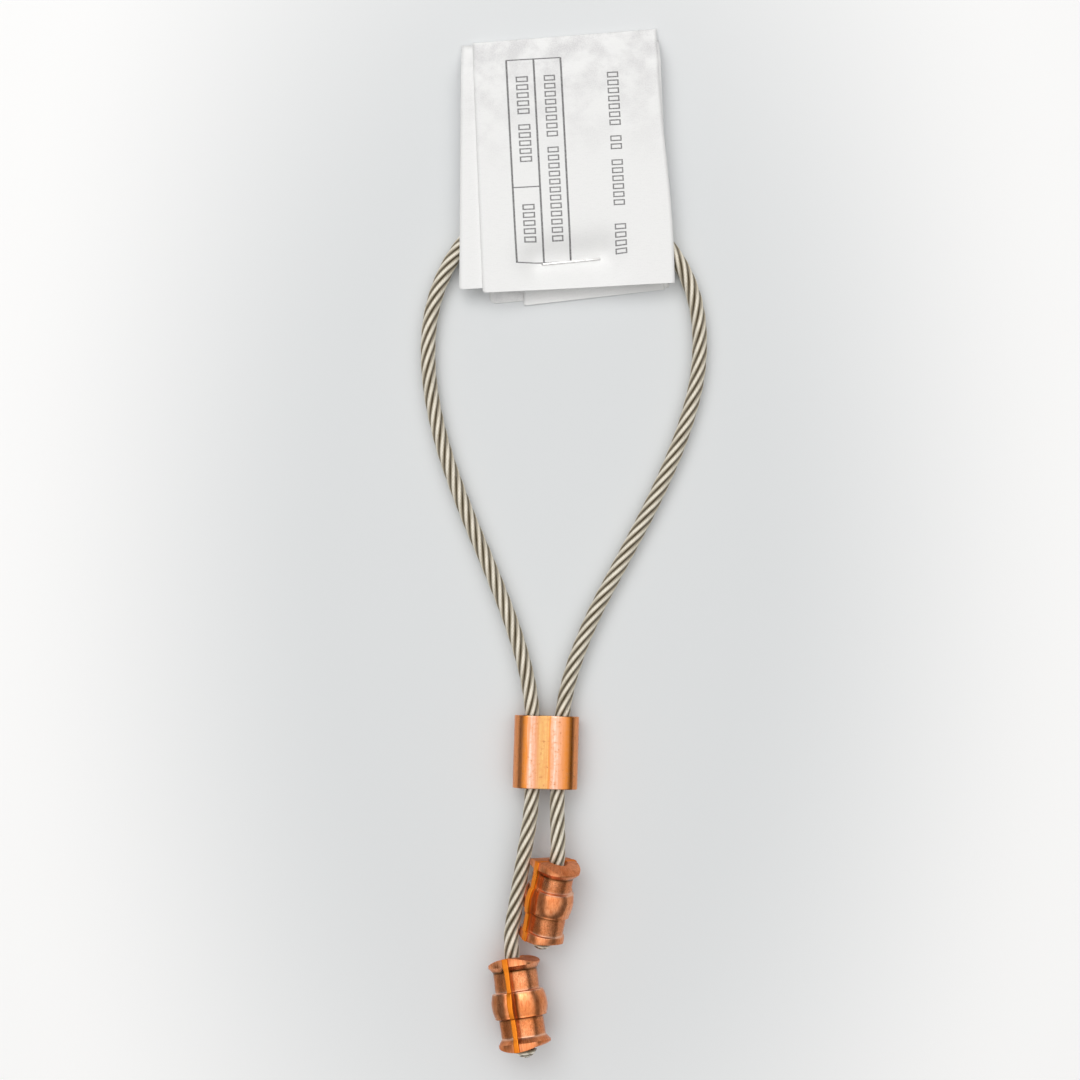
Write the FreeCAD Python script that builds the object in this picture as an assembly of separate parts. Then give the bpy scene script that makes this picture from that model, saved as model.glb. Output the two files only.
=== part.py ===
# A loop of wire rope whose two ends carry swaged copper heads, with a loose copper
# sleeve round both legs and a stapled paper leaflet hung on the loop. It lies flat:
# +X across the loop, +Y from the heads towards the leaflet, +Z up from the table.
import FreeCAD, Part
import os
from math import asin, cos, degrees, exp, hypot, pi, radians, sin, tan

Vector = FreeCAD.Vector

# Wire rope
rope_diameter = 3.2
arc_share = 0.45        # of the shorter run beside a corner, taken by its arc
flex_clearance = 0.12   # between the ball on a leg and the cup that it bends in

# The rope's route, from the long leg's cut end round the loop to the short leg's
rope_route = [
    (-7.9, -107.4, 8.7),
    (-9.5, -96.4, 6.7),
    (-11.6, -84.6, 4.6),
    (-9.9, -75.2, 5.3),
    (-8.5, -66.4, 5.8),
    (-6.8, -56.4, 5.2),
    (-6.6, -44.8, 4.0),
    (-6.7, -33.5, 3.2),
    (-9.7, -21.3, 2.7),
    (-15.1, -7.3, 2.4),
    (-21.3, 7.0, 2.3),
    (-26.4, 21.4, 2.3),
    (-29.1, 36.0, 2.3),
    (-28.2, 50.2, 2.3),
    (-22.1, 62.8, 2.3),
    (-12.3, 70.9, 2.3),
    (-0.4, 73.8, 2.3),
    (11.6, 71.1, 2.3),
    (22.0, 63.1, 2.3),
    (28.2, 51.2, 2.3),
    (29.0, 37.1, 2.3),
    (25.7, 23.5, 2.3),
    (19.6, 9.2, 2.3),
    (12.0, -5.0, 2.4),
    (5.1, -17.9, 2.7),
    (0.1, -31.8, 3.2),
    (-1.1, -44.8, 4.0),
    (-1.6, -56.4, 4.9),
    (-1.15, -66.1, 7.8),
    (-3.1, -75.8, 6.45),
    (-4.95, -85.4, 5.1),
]
long_leg_corners = 5    # route points on each leg, counted from its cut end
short_leg_corners = 3

# Swaged heads, pressed in two bands that leave a bulge between two necks
long_head_length = 16.3     # between the rims' outer corners
short_head_length = 15.2
head_end_crown = 1.36   # how far each end face stands out along its middle
long_leg_stub = 1.15    # rope past the end face of each head, its wires splayed by the cut
short_leg_stub = 0.85
long_splay_radius = 2.35
short_splay_radius = 2.15
splay_clearance = 0.05  # between the splayed wires and the end face
rim_half_width = 5.3    # across the fins' plane
rim_half_depth = 4.8    # along the fins' plane
rim_lip = 0.3
rim_flare = 1.0
neck_half_width = 4.65
neck_half_depth = 3.9
bulge_half_width = 6.0
bulge_half_depth = 4.8
bulge_shoulder = 0.5    # how much narrower the bulge is at its two edges
long_bulge_start = 5.4      # from the mouth
short_bulge_start = 4.3
bulge_length = 5.7
fin_thickness = 1.15
fin_height_at_neck = 1.1
fin_height_at_rim = 0.4
fin_height_at_bulge = 0.9
long_head_fin_turn = 19.0    # degrees from upright, towards -X
short_head_fin_turn = 60.0

# Loose sleeve round both legs
leg_spacing = 6.4       # between the two legs where they enter the sleeve
slot_side_clearance = 0.6
slot_height_clearance = 0.3
sleeve_wall = 1.4
sleeve_length = 15.2
sleeve_edge_break = 0.15
sleeve_lean = 1.7       # degrees in the table's plane
sleeve_rise = 4.3       # degrees, the end beside the heads is the higher one

# Paper leaflet: a cover folded over the rope, with two loose leaves inside
paper_thickness = 0.2
paper_gap = 0.05
rope_clearance = 0.25   # between the rope and the leaves under and over it
fold_above_loop = 31.1  # the fold's left end, from the loop's farthest route point
fold_left_of_loop = 19.0
leaflet_turn = 4.4      # degrees
fold_radius = 0.3       # inside the fold
fold_ramp = 8.0         # length over which the cover rises from the fold
staple_dimple = 4.0     # reach of the dimple that the staple pulls
cover_fold_width = 39.1
corner_radius = 1.4
# Corners from the fold's left end: top left, top right, bottom right, bottom left
cover_front_corners = [(0, 0), (cover_fold_width, 0), (38.6, -54.1), (-1.8, -53.1)]
cover_back_corners = [(0, 0), (cover_fold_width, 0), (37.7, -54.4), (-0.55, -55.0)]
front_leaf_corners = [(-2.3, -0.6), (39.4, -2.2), (37.8, -52.6), (-6.7, -52.0)]
back_leaf_corners = [(8.7, -3.8), (37.9, -4.3), (36.7, -54.8), (6.6, -55.9)]
spans_across = 24       # of the surface of a front leaf
spans_down = 40

# Staple
staple_crown = 12.8
staple_wire_width = 0.5
staple_wire_height = 0.4
staple_prong = 4.6
staple_middle = (17.3, -47.5)
staple_turn = 1.1
staple_hole_clearance = 0.05


def unit(vector):
    return vector * (1.0 / vector.Length)


def placed(shape, across, upward, along, origin):
    # Moves a shape from local axes to three given directions and an origin.
    moved = shape.copy()
    moved.Placement = FreeCAD.Placement(FreeCAD.Matrix(
        across.x, upward.x, along.x, origin.x,
        across.y, upward.y, along.y, origin.y,
        across.z, upward.z, along.z, origin.z,
        0, 0, 0, 1))
    return moved


# Rope

rope_radius = rope_diameter / 2
route = [Vector(*point) for point in rope_route]
long_pivot = (route[long_leg_corners - 1] + route[long_leg_corners]) * 0.5
short_pivot = (route[-short_leg_corners] + route[-short_leg_corners - 1]) * 0.5


def rounded_corner(index):
    # The arc that rounds one corner of the route, as its start, middle, end and radius.
    corner = route[index]
    back = route[index - 1] - corner
    ahead = route[index + 1] - corner
    reach = arc_share * min(back.Length, ahead.Length)
    half_turn = (pi - back.getAngle(ahead)) / 2
    radius = reach / tan(half_turn)
    inward = unit(unit(back) + unit(ahead))
    middle = corner + inward * (radius * (1 / cos(half_turn) - 1))
    return corner + unit(back) * reach, middle, corner + unit(ahead) * reach, radius


def rope_tube(start, corners, end):
    # A round tube along straight runs and tangent arcs.
    edges = []
    here = start
    for index in corners:
        first, middle, last, radius = rounded_corner(index)
        edges.append(Part.LineSegment(here, first).toShape())
        edges.append(Part.Arc(first, middle, last).toShape())
        print("corner", index, "arc radius", round(radius, 1))
        here = last
    edges.append(Part.LineSegment(here, end).toShape())
    path = Part.Wire(edges)
    circle = Part.makeCircle(rope_radius, start, edges[0].tangentAt(edges[0].FirstParameter))
    tube = path.makePipeShell([Part.Wire(circle)], True, True)
    print("tube volume over section times length", tube.Volume / (pi * rope_radius ** 2 * path.Length))
    return tube


def ball_end(tube, pivot, towards_loop):
    # A leg's tube ends in a half ball, which bends in the loop's cup.
    half_ball = Part.makeSphere(rope_radius, pivot, unit(towards_loop), 0, 90, 360)
    return tube.fuse(half_ball).removeSplitter()


def splayed_end(tube, end, before, stub, half_width):
    # The cut end's wires spread to a low dome that sits on the head's end face.
    along = unit(end - before)
    height = stub - splay_clearance
    radius = (half_width ** 2 + height ** 2) / (2 * height)
    base_angle = degrees(asin((radius - height) / radius))
    dome = Part.makeSphere(radius, end - along * radius, along, base_angle, 90, 360)
    return tube.fuse(dome).removeSplitter()


def make_rope():
    last = len(route) - 1
    loop = rope_tube(long_pivot, range(long_leg_corners, last - short_leg_corners + 1), short_pivot)
    for pivot in (long_pivot, short_pivot):
        loop = loop.cut(Part.makeSphere(rope_radius + flex_clearance, pivot))
    long_leg = rope_tube(route[0], range(1, long_leg_corners), long_pivot)
    long_leg = ball_end(long_leg, long_pivot, route[long_leg_corners] - long_pivot)
    short_leg = rope_tube(short_pivot, range(last - short_leg_corners + 1, last), route[last])
    short_leg = ball_end(short_leg, short_pivot, route[-short_leg_corners - 1] - short_pivot)
    return loop, long_leg, short_leg


# Swaged heads

def ellipse(half_width, half_depth, along):
    return Part.Wire(Part.Ellipse(Vector(0, 0, along), half_width, half_depth).toShape())


def band(half_width, half_depth, start, end):
    face = Part.Face(ellipse(half_width, half_depth, start))
    return face.extrude(Vector(0, 0, end - start))


def flare(start_size, start, end_size, end):
    return Part.makeLoft([ellipse(*start_size, start), ellipse(*end_size, end)], True, True)


def head_bulge(bulge_start):
    # The middle band keeps the sleeve's first size and is barrelled along the rope.
    bulge_end = bulge_start + bulge_length
    sections = []
    for share in (0, 0.2, 0.5, 0.8, 1):
        swell = bulge_shoulder * (1 - (2 * share - 1) ** 2)
        along = bulge_start + share * (bulge_end - bulge_start)
        sections.append(ellipse(
            bulge_half_width - bulge_shoulder + swell, bulge_half_depth - bulge_shoulder + swell, along))
    return Part.makeLoft(sections, True, False)


def head_fins(length, bulge_start):
    # Flash that the dies squeeze out on both sides, as one thin plate through the head.
    bulge_end = bulge_start + bulge_length
    at_rim = rim_half_depth + fin_height_at_rim
    at_neck = neck_half_depth + fin_height_at_neck
    at_bulge = bulge_half_depth + fin_height_at_bulge
    outline = [
        (-head_end_crown, at_rim),
        (rim_lip, at_rim),
        (rim_lip + rim_flare, at_neck),
        (bulge_start, at_neck),
        (bulge_start + bulge_length / 4, at_bulge),
        (bulge_end - bulge_length / 4, at_bulge),
        (bulge_end, at_neck),
        (length - rim_lip - rim_flare, at_neck),
        (length - rim_lip, at_rim),
        (length + head_end_crown, at_rim),
    ]
    outline += [(along, -height) for along, height in reversed(outline)]
    corners = [Vector(-fin_thickness / 2, height, along) for along, height in outline]
    plate = Part.Face(Part.makePolygon(corners + corners[:1]))
    return plate.extrude(Vector(fin_thickness, 0, 0))


def head_end_trim(length):
    # Keeps what lies between the two end faces, which stand out along the fins' plane.
    side = bulge_half_width + 1
    low = Vector(-rim_half_width, -side, 0)
    far = Vector(0, 0, length)
    width = Vector(2 * rim_half_width, 0, 0)
    crown = Vector(rim_half_width, 0, head_end_crown)
    step = Vector(side - rim_half_width, 0, 0)
    edges = [
        Part.LineSegment(low - step, low).toShape(),
        Part.Arc(low, low + Vector(crown.x, 0, -crown.z), low + width).toShape(),
        Part.LineSegment(low + width, low + width + step).toShape(),
        Part.LineSegment(low + width + step, low + width + step + far).toShape(),
        Part.LineSegment(low + width + step + far, low + width + far).toShape(),
        Part.Arc(low + width + far, low + far + crown, low + far).toShape(),
        Part.LineSegment(low + far, low + far - step).toShape(),
        Part.LineSegment(low + far - step, low - step).toShape(),
    ]
    return Part.Face(Part.Wire(edges)).extrude(Vector(0, 2 * side, 0))


def head_blank(length, bulge_start):
    # One head along local +Z, mouth first, with its fins along local Y.
    rim = (rim_half_width, rim_half_depth)
    neck = (neck_half_width, neck_half_depth)
    far_lip = length - rim_lip
    pieces = [
        flare(rim, rim_lip, neck, rim_lip + rim_flare),
        band(*neck, rim_lip + rim_flare, far_lip - rim_flare),
        flare(neck, far_lip - rim_flare, rim, far_lip),
        band(*rim, far_lip, length + head_end_crown),
        head_bulge(bulge_start),
        head_fins(length, bulge_start),
    ]
    blank = band(*rim, -head_end_crown, rim_lip)
    for piece in pieces:
        blank = blank.fuse(piece)
    return blank.common(head_end_trim(length))


def make_head(rope_end, rope_before, stub, length, bulge_start, fin_turn, rope):
    # A head swaged on a leg: its bore is the rope itself.
    along = unit(rope_end - rope_before)
    upright = Vector(0, 0, 1)
    upright = unit(upright - along * upright.dot(along))
    sideways = along.cross(upright)
    fins = upright * cos(radians(fin_turn)) + sideways * sin(radians(fin_turn))
    mouth = rope_end - along * (stub + head_end_crown + length)
    blank = head_blank(length, bulge_start)
    return placed(blank, fins.cross(along), fins, along, mouth).cut(rope)


# Loose sleeve

def stadium(width, height, length):
    # A bar with two round sides, along local Z and centred.
    radius = height / 2
    reach = width / 2 - radius
    edges = [
        Part.LineSegment(Vector(-reach, -radius, 0), Vector(reach, -radius, 0)).toShape(),
        Part.Arc(Vector(reach, -radius, 0), Vector(reach + radius, 0, 0), Vector(reach, radius, 0)).toShape(),
        Part.LineSegment(Vector(reach, radius, 0), Vector(-reach, radius, 0)).toShape(),
        Part.Arc(Vector(-reach, radius, 0), Vector(-reach - radius, 0, 0), Vector(-reach, -radius, 0)).toShape(),
    ]
    bar = Part.Face(Part.Wire(edges)).extrude(Vector(0, 0, length))
    bar.translate(Vector(0, 0, -length / 2))
    return bar


def make_sleeve():
    slot_width = leg_spacing + rope_diameter + 2 * slot_side_clearance
    slot_height = rope_diameter + 2 * slot_height_clearance
    outer = stadium(slot_width + 2 * sleeve_wall, slot_height + 2 * sleeve_wall, sleeve_length)
    end_edges = [edge for edge in outer.Edges if edge.BoundBox.ZLength < sleeve_edge_break]
    sleeve = outer.makeChamfer(sleeve_edge_break, end_edges).cut(
        stadium(slot_width, slot_height, 2 * sleeve_length))
    lean = radians(sleeve_lean)
    rise = radians(sleeve_rise)
    along = Vector(sin(lean) * cos(rise), cos(lean) * cos(rise), -sin(rise))
    across = unit(Vector(cos(lean), -sin(lean), 0))
    middle = (route[long_leg_corners + 1] + route[-short_leg_corners - 2]) * 0.5
    print("sleeve slide axis", tuple(round(part, 5) for part in along), "middle", tuple(middle))
    return placed(sleeve, across, along.cross(across), along, middle)


# Leaflet

rope_bottom = min(point.z for point in route) - rope_radius
loop_top = max(route, key=lambda point: point.y)
low_front = paper_thickness + 2 * fold_radius
high_front = rope_bottom + rope_diameter + rope_clearance + paper_gap + paper_thickness


def staple_ends():
    half = staple_crown / 2
    turn = radians(staple_turn)
    x, y = staple_middle
    return (x - half * cos(turn), y - half * sin(turn)), (x + half * cos(turn), y + half * sin(turn))


def front_height(x, y):
    # Underside of the cover's front leaf: it rises from the fold, and dips to the staple.
    share = min(max(-y / fold_ramp, 0), 1)
    rise = share * share * (3 - 2 * share)
    (x1, y1), (x2, y2) = staple_ends()
    along = ((x - x1) * (x2 - x1) + (y - y1) * (y2 - y1)) / staple_crown ** 2
    along = min(max(along, 0), 1)
    distance = hypot(x - x1 - along * (x2 - x1), y - y1 - along * (y2 - y1))
    dip = exp(-(distance / staple_dimple) ** 2)
    return low_front + (high_front - low_front) * rise * (1 - dip)


def raised_leaf(corners, drop):
    # A thin curved leaf over four corners, its underside a drop below the cover's.
    top_left, top_right, bottom_right, bottom_left = corners
    rows = []
    for j in range(spans_down + 1):
        t = j / spans_down
        row = []
        for i in range(spans_across + 1):
            s = i / spans_across
            x = (1 - t) * ((1 - s) * top_left[0] + s * top_right[0]) \
                + t * ((1 - s) * bottom_left[0] + s * bottom_right[0])
            y = (1 - t) * ((1 - s) * top_left[1] + s * top_right[1]) \
                + t * ((1 - s) * bottom_left[1] + s * bottom_right[1])
            row.append(Vector(x, y, front_height(x, y) - drop))
        rows.append(row)
    surface = Part.BSplineSurface()
    surface.interpolate(rows)
    return surface.toShape().extrude(Vector(0, 0, paper_thickness))


def flat_leaf(corners, bottom):
    # A flat leaf whose lower left corner is rounded.
    points = [Vector(x, y, bottom) for x, y in corners]
    leaf = Part.Face(Part.makePolygon(points + points[:1])).extrude(Vector(0, 0, paper_thickness))
    low_left = Vector(corners[3][0], corners[3][1], bottom + paper_thickness / 2)
    rounded = [edge for edge in leaf.Edges if edge.CenterOfMass.sub(low_left).Length < 0.01]
    return leaf.makeFillet(corner_radius, rounded)


def cover_fold():
    # Half a ring that joins the cover's two leaves along the top.
    centre = Vector(0, 0, paper_thickness + fold_radius)
    outer = Part.makeCylinder(fold_radius + paper_thickness, cover_fold_width, centre, Vector(1, 0, 0))
    inner = Part.makeCylinder(fold_radius, cover_fold_width, centre, Vector(1, 0, 0))
    reach = fold_radius + paper_thickness
    half = Part.makeBox(cover_fold_width, 2 * reach, 2 * reach, Vector(0, 0, centre.z - reach))
    return outer.cut(inner).common(half)


def make_staple(clearance):
    # Crown over the cover, two legs through every leaf and two prongs bent in below.
    width = staple_wire_width + 2 * clearance
    height = staple_wire_height + clearance
    x_end = staple_crown / 2 + clearance
    crown_bottom = low_front + paper_thickness + paper_gap
    crown_top = crown_bottom + height
    crown = Part.makeBox(2 * x_end, width, height, Vector(-x_end, -width / 2, crown_bottom))
    staple = crown
    for side in (-1, 1):
        leg_x = -x_end if side < 0 else x_end - width
        prong_x = -x_end if side < 0 else x_end - staple_prong - 2 * clearance
        leg = Part.makeBox(width, width, crown_top, Vector(leg_x, -width / 2, 0))
        prong = Part.makeBox(staple_prong + 2 * clearance, width, height, Vector(prong_x, -width / 2, 0))
        staple = staple.fuse(leg).fuse(prong)
    staple = staple.removeSplitter()
    staple.rotate(Vector(0, 0, 0), Vector(0, 0, 1), staple_turn)
    staple.translate(Vector(staple_middle[0], staple_middle[1], 0))
    return staple


def on_loop(shape):
    # Turns a leaflet piece and moves it to its place over the loop.
    shape = shape.copy()
    shape.rotate(Vector(0, 0, 0), Vector(0, 0, 1), leaflet_turn)
    shape.translate(Vector(loop_top.x - fold_left_of_loop, loop_top.y + fold_above_loop, 0))
    return shape


def make_leaflet():
    hole = make_staple(staple_hole_clearance)
    cover = raised_leaf(cover_front_corners, 0).fuse(cover_fold()).fuse(flat_leaf(cover_back_corners, 0))
    pieces = {
        "leaflet_cover": cover.cut(hole),
        "leaflet_front_leaf": raised_leaf(front_leaf_corners, paper_thickness + paper_gap).cut(hole),
        "leaflet_back_leaf": flat_leaf(back_leaf_corners, paper_thickness + paper_gap).cut(hole),
        "leaflet_staple": make_staple(0),
    }
    return {name: on_loop(shape) for name, shape in pieces.items()}


def main():
    loop, long_leg, short_leg = make_rope()
    parts = {
        "rope_loop": loop,
        "long_leg_rope": splayed_end(long_leg, route[0], route[1], long_leg_stub, long_splay_radius),
        "short_leg_rope": splayed_end(short_leg, route[-1], route[-2], short_leg_stub, short_splay_radius),
        "long_leg_head": make_head(route[0], route[1], long_leg_stub, long_head_length, long_bulge_start,
                                   long_head_fin_turn, long_leg),
        "short_leg_head": make_head(route[-1], route[-2], short_leg_stub, short_head_length, short_bulge_start,
                                    short_head_fin_turn, short_leg),
        "slider_sleeve": make_sleeve(),
    }
    parts.update(make_leaflet())
    os.makedirs("parts", exist_ok=True)
    for name, shape in parts.items():
        shape.exportStep("parts/" + name + ".step")
        box = shape.BoundBox
        print(name, len(shape.Solids), shape.isValid(), round(shape.Volume, 2),
              [round(value, 2) for value in (box.XMin, box.XMax, box.YMin, box.YMax, box.ZMin, box.ZMax)])


main()
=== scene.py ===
# A loop of wire rope with a swaged copper head on each end, a loose copper sleeve round
# both legs and a stapled paper leaflet over the loop, lying on a pale table.
from math import cos, pi, radians, sin

import bmesh
import bpy
import numpy as np
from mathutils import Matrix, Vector


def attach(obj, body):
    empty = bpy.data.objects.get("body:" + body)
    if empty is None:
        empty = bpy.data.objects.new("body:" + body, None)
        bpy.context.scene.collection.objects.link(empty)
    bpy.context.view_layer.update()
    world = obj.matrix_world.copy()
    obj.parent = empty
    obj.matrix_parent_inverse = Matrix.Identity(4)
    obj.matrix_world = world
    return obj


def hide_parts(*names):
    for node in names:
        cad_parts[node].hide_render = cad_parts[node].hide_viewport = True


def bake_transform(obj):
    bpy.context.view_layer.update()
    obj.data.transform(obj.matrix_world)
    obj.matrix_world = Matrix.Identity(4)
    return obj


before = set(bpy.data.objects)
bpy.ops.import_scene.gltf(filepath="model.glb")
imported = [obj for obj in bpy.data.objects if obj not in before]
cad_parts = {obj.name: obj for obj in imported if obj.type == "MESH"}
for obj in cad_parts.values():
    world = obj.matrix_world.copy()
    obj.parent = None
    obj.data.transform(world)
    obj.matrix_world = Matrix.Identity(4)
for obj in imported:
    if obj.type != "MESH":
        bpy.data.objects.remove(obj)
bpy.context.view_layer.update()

mm = 0.001
up = np.array([0.0, 0.0, 1.0])
join = np.concatenate
mergeReach = 2e-7  # metres, closes the seams and poles of a surface
allSmooth = 180.0  # an angle that leaves no edge of a piece sharp


# Mesh helpers

def gridFaces(rows, columns, first):
    # One quad between each pair of neighbouring rows and columns of a grid of points.
    i, j = np.meshgrid(np.arange(rows - 1), np.arange(columns - 1), indexing="ij")
    corner = first + i * columns + j
    quads = np.stack([corner, corner + 1, corner + columns + 1, corner + columns], -1)
    return quads.reshape(-1, 4)


def addObject(name, data):
    made = bpy.data.objects.new(name, data)
    bpy.context.scene.collection.objects.link(made)
    return made


def makePiece(name, patches, material, sharpAngle):
    # patches are (points, values): a rows x columns x 3 grid in metres, and arrays of one
    # number per point, named as the attribute that they become. "u" and "v" become the UV map.
    points, faces, first = [], [], 0
    values = {key: [] for key in patches[0][1]}
    for grid, extra in patches:
        rows, columns = grid.shape[:2]
        points.append(grid.reshape(-1, 3))
        faces.append(gridFaces(rows, columns, first))
        first += rows * columns
        for key in values:
            values[key].append(np.broadcast_to(extra[key], (rows, columns)).ravel())
    points, faces = join(points), join(faces)
    values = {key: join(part) for key, part in values.items()}
    mesh = bpy.data.meshes.new(name)
    mesh.from_pydata(points.tolist(), [], faces.tolist())
    if "u" in values:
        around = mesh.uv_layers.new(name="surface")
        order = faces.ravel()
        uv = np.stack([values.pop("u")[order], values.pop("v")[order]], -1)
        around.data.foreach_set("uv", uv.astype(np.float32).ravel())
    for key, part in values.items():
        layer = mesh.attributes.new(key, "FLOAT", "POINT")
        layer.data.foreach_set("value", part.astype(np.float32))
    work = bmesh.new()
    work.from_mesh(mesh)
    bmesh.ops.remove_doubles(work, verts=work.verts, dist=mergeReach)
    bmesh.ops.recalc_face_normals(work, faces=work.faces)
    work.to_mesh(mesh)
    work.free()
    mesh.shade_smooth()
    mesh.set_sharp_from_angle(angle=radians(sharpAngle))
    mesh.materials.append(material)
    piece = addObject(name, mesh)
    print("made", name, len(mesh.vertices), "vertices")
    return piece


def unit(vector):
    return vector / np.linalg.norm(vector, axis=-1, keepdims=True)


def easeIn(value):
    # 0 below 0 and 1 above 1, with a smooth cubic between
    share = np.clip(value, 0, 1)
    return share * share * (3 - 2 * share)


def bell(share):
    # A parabola that is 0 at 0 and 1, and 1 halfway
    return 1 - (2 * np.clip(share, 0, 1) - 1) ** 2


def hill(value, at, wide):
    # exp(-((value - at) / wide)^2)
    return np.exp(-((value - at) / wide) ** 2)


# Material helpers

def newMaterial(name):
    material = bpy.data.materials.new(name)
    material.use_nodes = True
    return material, material.node_tree, material.node_tree.nodes["Principled BSDF"]


def setSocket(tree, socket, value):
    # Another node's output is linked, and a plain value is set.
    if isinstance(value, bpy.types.NodeSocket):
        tree.links.new(value, socket)
    else:
        socket.default_value = value


def addNode(tree, kind, sockets=(), **settings):
    made = tree.nodes.new(kind)
    for key, value in settings.items():
        setattr(made, key, value)
    for key, value in dict(sockets).items():
        setSocket(tree, made.inputs[key], value)
    return made


def setShader(tree, shader, values):
    for key, value in values.items():
        setSocket(tree, shader.inputs[key], value)


def doMath(tree, operation, *values, clamp=False):
    return addNode(tree, "ShaderNodeMath", enumerate(values), operation=operation,
                   use_clamp=clamp).outputs[0]


def vectorMath(tree, operation, *values):
    return addNode(tree, "ShaderNodeVectorMath", enumerate(values), operation=operation).outputs


def splitVector(tree, vector):
    return addNode(tree, "ShaderNodeSeparateXYZ", {0: vector}).outputs


def mapRange(tree, value, low, high, toLow=0.0, toHigh=1.0, kind="LINEAR"):
    return addNode(tree, "ShaderNodeMapRange", {
        "Value": value, "From Min": low, "From Max": high, "To Min": toLow, "To Max": toHigh},
        interpolation_type=kind).outputs[0]


def addRamp(tree, factor, stops):
    # A colour ramp through (place, colour) stops.
    ramp = addNode(tree, "ShaderNodeValToRGB", {0: factor})
    band = ramp.color_ramp
    while len(band.elements) < len(stops):
        band.elements.new(0.5)
    for element, (place, colour) in zip(band.elements, stops):
        element.position = place
        element.color = (*colour, 1)
    return ramp.outputs[0]


def mixColours(tree, share, under, over):
    # Sockets 6 and 7 of the node are its two colours.
    under, over = ((*colour, 1) if isinstance(colour, tuple) else colour
                   for colour in (under, over))
    return addNode(tree, "ShaderNodeMix", {0: share, 6: under, 7: over},
                   data_type="RGBA").outputs[2]


def layColours(tree, colour, layers):
    # Lays (share, colour) layers over a first colour in turn.
    for share, over in layers:
        colour = mixColours(tree, share, colour, over)
    return colour


def addNoise(tree, place, scale, detail=3.0, roughness=0.6):
    return addNode(tree, "ShaderNodeTexNoise", {
        "Vector": place, "Scale": scale, "Detail": detail, "Roughness": roughness}).outputs["Fac"]


def addBump(tree, shader, height, strength, distance):
    bump = addNode(tree, "ShaderNodeBump", {
        "Height": height, "Strength": strength, "Distance": distance})
    tree.links.new(bump.outputs[0], shader.inputs["Normal"])


def stretch(tree, place, scale, turn=0.0, move=(0, 0, 0)):
    return addNode(tree, "ShaderNodeMapping", {
        "Vector": place, "Location": move, "Rotation": (0, 0, turn), "Scale": scale}).outputs[0]


def readAttribute(tree, name):
    return addNode(tree, "ShaderNodeAttribute", attribute_name=name).outputs["Fac"]


def readPlace(tree):
    return addNode(tree, "ShaderNodeTexCoord").outputs["Object"]


def readSurface(tree):
    return addNode(tree, "ShaderNodeUVMap", uv_map="surface").outputs[0]


# Camera and light

cameraLook = {
    "place": (-5.1 * mm, -0.15 * mm, 400 * mm),  # above the picture's middle
    "seenWidth": 229.7 * mm,
    "sensor": 36.0,
    "nearest": 0.01,
}
camera = addObject("camera", bpy.data.cameras.new("camera"))
camera.location = cameraLook["place"]
camera.data.sensor_width = cameraLook["sensor"]
camera.data.lens = cameraLook["sensor"] * cameraLook["place"][2] / cameraLook["seenWidth"]
camera.data.clip_start = cameraLook["nearest"]
bpy.context.scene.camera = camera
bpy.context.scene.view_settings.view_transform = "Standard"

lightLook = {
    "ceiling": (1.0, 0.995, 0.985),
    # height of a direction, from 0 level to 1 straight up, and the room's brightness there
    "levels": ((0.0, 0.30), (0.12, 0.20), (0.30, 0.15), (0.56, 0.18), (0.76, 1.24), (1.0, 1.42)),
    "northGain": 0.40,  # how much brighter the far side of the room is
    "westGain": 0.06,
    "lampPower": 1.5,
    "lampPlace": (-0.25, 0.45, 0.75),
    "lampSize": 0.5,
}


def makeWorld():
    # A room seen by direction: a bright ceiling over dark walls that are paler near the table.
    # Its brightness is a ramp over the direction's height, times 1 + gain * direction.
    world = bpy.data.worlds.new("room")
    bpy.context.scene.world = world
    world.use_nodes = True
    tree = world.node_tree
    background = tree.nodes["Background"]
    direction = addNode(tree, "ShaderNodeTexCoord").outputs["Generated"]
    parts = splitVector(tree, direction)
    levels = lightLook["levels"]
    most = max(level for height, level in levels)
    ramp = addRamp(tree, parts[2], [(height, (level / most,) * 3) for height, level in levels])
    north = doMath(tree, "MULTIPLY_ADD", parts[1], lightLook["northGain"], 1.0)
    west = doMath(tree, "MULTIPLY", parts[0], -lightLook["westGain"])
    gain = doMath(tree, "MULTIPLY", doMath(tree, "ADD", north, west), most)
    background.inputs["Color"].default_value = (*lightLook["ceiling"], 1)
    tree.links.new(doMath(tree, "MULTIPLY", ramp, gain), background.inputs["Strength"])


def makeLamp():
    lamp = bpy.data.lights.new("window", "AREA")
    lamp.energy = lightLook["lampPower"]
    lamp.size = lightLook["lampSize"]
    holder = addObject("window", lamp)
    holder.location = lightLook["lampPlace"]
    aim = Vector((0, 0, 0)) - holder.location
    holder.rotation_euler = aim.to_track_quat("-Z", "Y").to_euler()


makeWorld()
makeLamp()

tableLook = {
    "size": 3.0,
    "drop": 0.05 * mm,  # below the part's underside
    "middle": (-4.5 * mm, -5 * mm),
    "colour": (0.755, 0.772, 0.782),
    "edge": (1.0, 1.0, 1.0),
    "tallShare": 0.5,  # the grey fades more slowly along Y
    "fadeFrom": 42 * mm,
    "fadeTo": 120 * mm,
    "roughness": 0.9,
    "specular": 0.1,
}


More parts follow.
